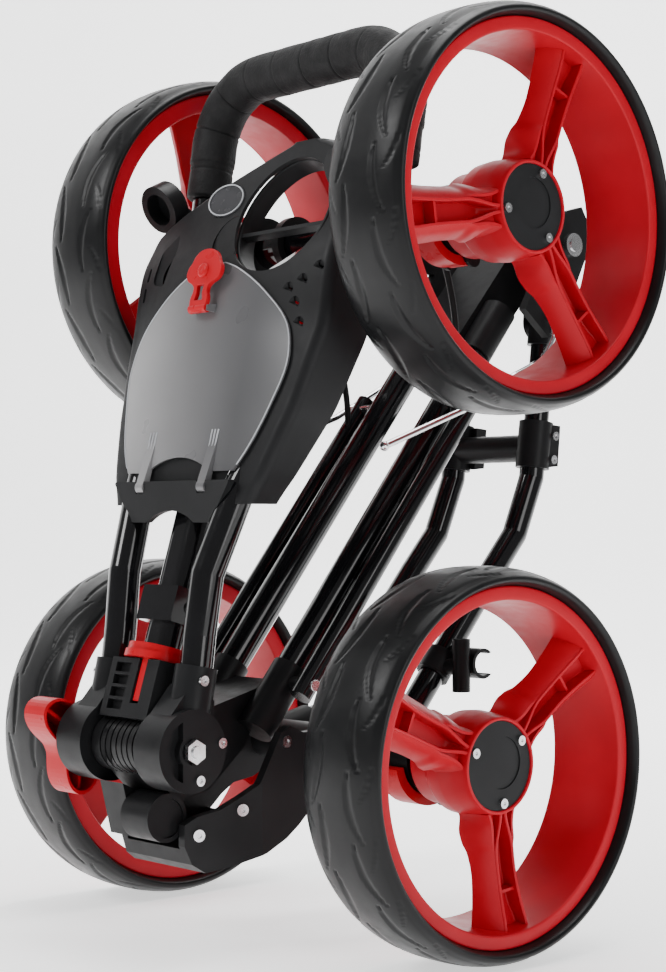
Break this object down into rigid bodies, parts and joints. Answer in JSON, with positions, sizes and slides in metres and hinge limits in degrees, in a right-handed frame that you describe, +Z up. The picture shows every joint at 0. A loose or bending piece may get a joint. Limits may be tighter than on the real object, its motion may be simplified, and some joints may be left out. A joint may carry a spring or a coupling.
{
  "type": "golf push trolley",
  "caption": "Folding golf push trolley, folded upright: a hinged handle with console, a tubular frame, hinged front legs and spoked wheels on quick-release axles.",
  "frame": {"origin": "on the ground, below the middle of the folded trolley", "axes": "+Z up, +X towards the right-hand wheels, -Y the side the console faces when folded"},
  "size_m": [0.4106, 0.4214, 0.63],
  "materials": {
    "gloss_black_tube": "gloss powder coat",
    "black_moulding": "satin moulded",
    "charcoal_moulding": "fine grain",
    "grey_moulding": "satin moulded",
    "red_moulding": "satin gloss",
    "red_rim": "satin gloss",
    "steel_axle": "turned",
    "zinc_fastener": "bright zinc",
    "chrome_wire": "polished",
    "grip_foam": "closed-cell foam",
    "tyre_rubber": "satin rubber",
    "frosted_plastic": "frosted, see-through",
    "badge_plastic": "satin"
  },
  "bodies": {
    "main_frame": {"spine_tube_right": "gloss_black_tube", "spine_tube_left": "gloss_black_tube", "centre_post": "gloss_black_tube", "latch_block": "grey_moulding", "lower_knuckle": "black_moulding", "fold_bracket": "black_moulding", "fold_pivot_bolt": "zinc_fastener", "rear_arm_right": "black_moulding", "rear_arm_left": "black_moulding", "rear_axle_beam": "gloss_black_tube", "rear_axle": "steel_axle", "rear_hub_housing_right": "black_moulding", "rear_hub_housing_left": "black_moulding", "rear_bearings": "steel_axle", "bag_wires": "chrome_wire"},
    "release_collar": {"release_collar": "red_moulding"},
    "handle": {"handle_socket_right": "grey_moulding", "handle_socket_left": "grey_moulding", "handle_tube": "gloss_black_tube", "foam_grip": "grip_foam", "console": "charcoal_moulding", "console_badge": "badge_plastic", "umbrella_sockets": "black_moulding", "clamp_bolt": "zinc_fastener", "socket_screws": "zinc_fastener"},
    "clamp_knob": {"clamp_knob": "red_moulding"},
    "scorecard_lid": {"scorecard_lid": "frosted_plastic"},
    "lid_clip": {"lid_clip": "red_moulding"},
    "front_legs": {"front_leg_tube_right": "gloss_black_tube", "front_leg_tube_left": "gloss_black_tube", "leg_brace": "black_moulding", "stand_clip": "black_moulding", "front_leg_screws": "zinc_fastener", "leg_yoke": "black_moulding", "front_axle": "steel_axle", "front_hub_housing_right": "black_moulding", "front_hub_housing_left": "black_moulding", "front_fairing": "charcoal_moulding", "front_bearings": "steel_axle"},
    "brake_pedal": {"brake_pedal": "black_moulding"},
    "rear_wheel_right": {"rear_tyre_right": "tyre_rubber", "rear_rim_right": "red_rim", "rear_hub_cap_right": "charcoal_moulding", "rear_cap_screws_right": "zinc_fastener"},
    "rear_release_tab_right": {"rear_release_tab_right": "red_moulding"},
    "rear_wheel_left": {"rear_tyre_left": "tyre_rubber", "rear_rim_left": "red_rim", "rear_hub_cap_left": "charcoal_moulding", "rear_cap_screws_left": "zinc_fastener"},
    "rear_release_tab_left": {"rear_release_tab_left": "red_moulding"},
    "front_wheel_right": {"front_tyre_right": "tyre_rubber", "front_rim_right": "red_rim", "front_hub_cap_right": "charcoal_moulding", "front_cap_screws_right": "zinc_fastener"},
    "front_release_tab_right": {"front_release_tab_right": "red_moulding"},
    "front_wheel_left": {"front_tyre_left": "tyre_rubber", "front_rim_left": "red_rim", "front_hub_cap_left": "charcoal_moulding", "front_cap_screws_left": "zinc_fastener"},
    "front_release_tab_left": {"front_release_tab_left": "red_moulding"}
  },
  "joints": [
    {"name": "handle_fold", "type": "hinge", "parent": "main_frame", "child": "handle", "pos_m": [0, -0.17634, 0.137], "axis": [1, 0, 0], "range_deg": [0, 165]},
    {"name": "front_legs_fold", "type": "hinge", "parent": "main_frame", "child": "front_legs", "pos_m": [0, 0.18266, 0.496], "axis": [1, 0, 0], "range_deg": [0, 122]},
    {"name": "collar_slide", "type": "slide", "parent": "main_frame", "child": "release_collar", "axis": [0, 0.29, 0.957], "range_m": [0, 0.012]},
    {"name": "knob_turn", "type": "hinge", "parent": "handle", "child": "clamp_knob", "pos_m": [-0.074, -0.17634, 0.137], "axis": [1, 0, 0], "continuous": true},
    {"name": "lid_open", "type": "hinge", "parent": "handle", "child": "scorecard_lid", "pos_m": [0, -0.14884, 0.308], "axis": [1, 0, 0], "range_deg": [0, 100]},
    {"name": "clip_lift", "type": "hinge", "parent": "scorecard_lid", "child": "lid_clip", "pos_m": [0, -0.12684, 0.43], "axis": [1, 0, 0], "range_deg": [0, 60]},
    {"name": "brake_press", "type": "hinge", "parent": "main_frame", "child": "brake_pedal", "pos_m": [0, 0.01166, 0.493], "axis": [1, 0, 0], "range_deg": [-20, 0]},
    {"name": "rear_wheel_spin_right", "type": "hinge", "parent": "main_frame", "child": "rear_wheel_right", "pos_m": [0.1577, 0.01166, 0.493], "axis": [1, 0, 0], "continuous": true},
    {"name": "rear_release_right", "type": "hinge", "parent": "main_frame", "child": "rear_release_tab_right", "pos_m": [0.1041, 0.02166, 0.466], "axis": [1, 0, 0], "range_deg": [0, 25]},
    {"name": "rear_wheel_spin_left", "type": "hinge", "parent": "main_frame", "child": "rear_wheel_left", "pos_m": [-0.1577, 0.01166, 0.493], "axis": [1, 0, 0], "continuous": true},
    {"name": "rear_release_left", "type": "hinge", "parent": "main_frame", "child": "rear_release_tab_left", "pos_m": [-0.1041, 0.02166, 0.466], "axis": [1, 0, 0], "range_deg": [0, 25]},
    {"name": "front_wheel_spin_right", "type": "hinge", "parent": "front_legs", "child": "front_wheel_right", "pos_m": [0.1703, -0.02934, 0.128], "axis": [1, 0, 0], "continuous": true},
    {"name": "front_release_right", "type": "hinge", "parent": "front_legs", "child": "front_release_tab_right", "pos_m": [0.1161, -0.01934, 0.101], "axis": [1, 0, 0], "range_deg": [0, 25]},
    {"name": "front_wheel_spin_left", "type": "hinge", "parent": "front_legs", "child": "front_wheel_left", "pos_m": [-0.1703, -0.02934, 0.128], "axis": [1, 0, 0], "continuous": true},
    {"name": "front_release_left", "type": "hinge", "parent": "front_legs", "child": "front_release_tab_left", "pos_m": [-0.1161, -0.01934, 0.101], "axis": [1, 0, 0], "range_deg": [0, 25]}
  ]
}
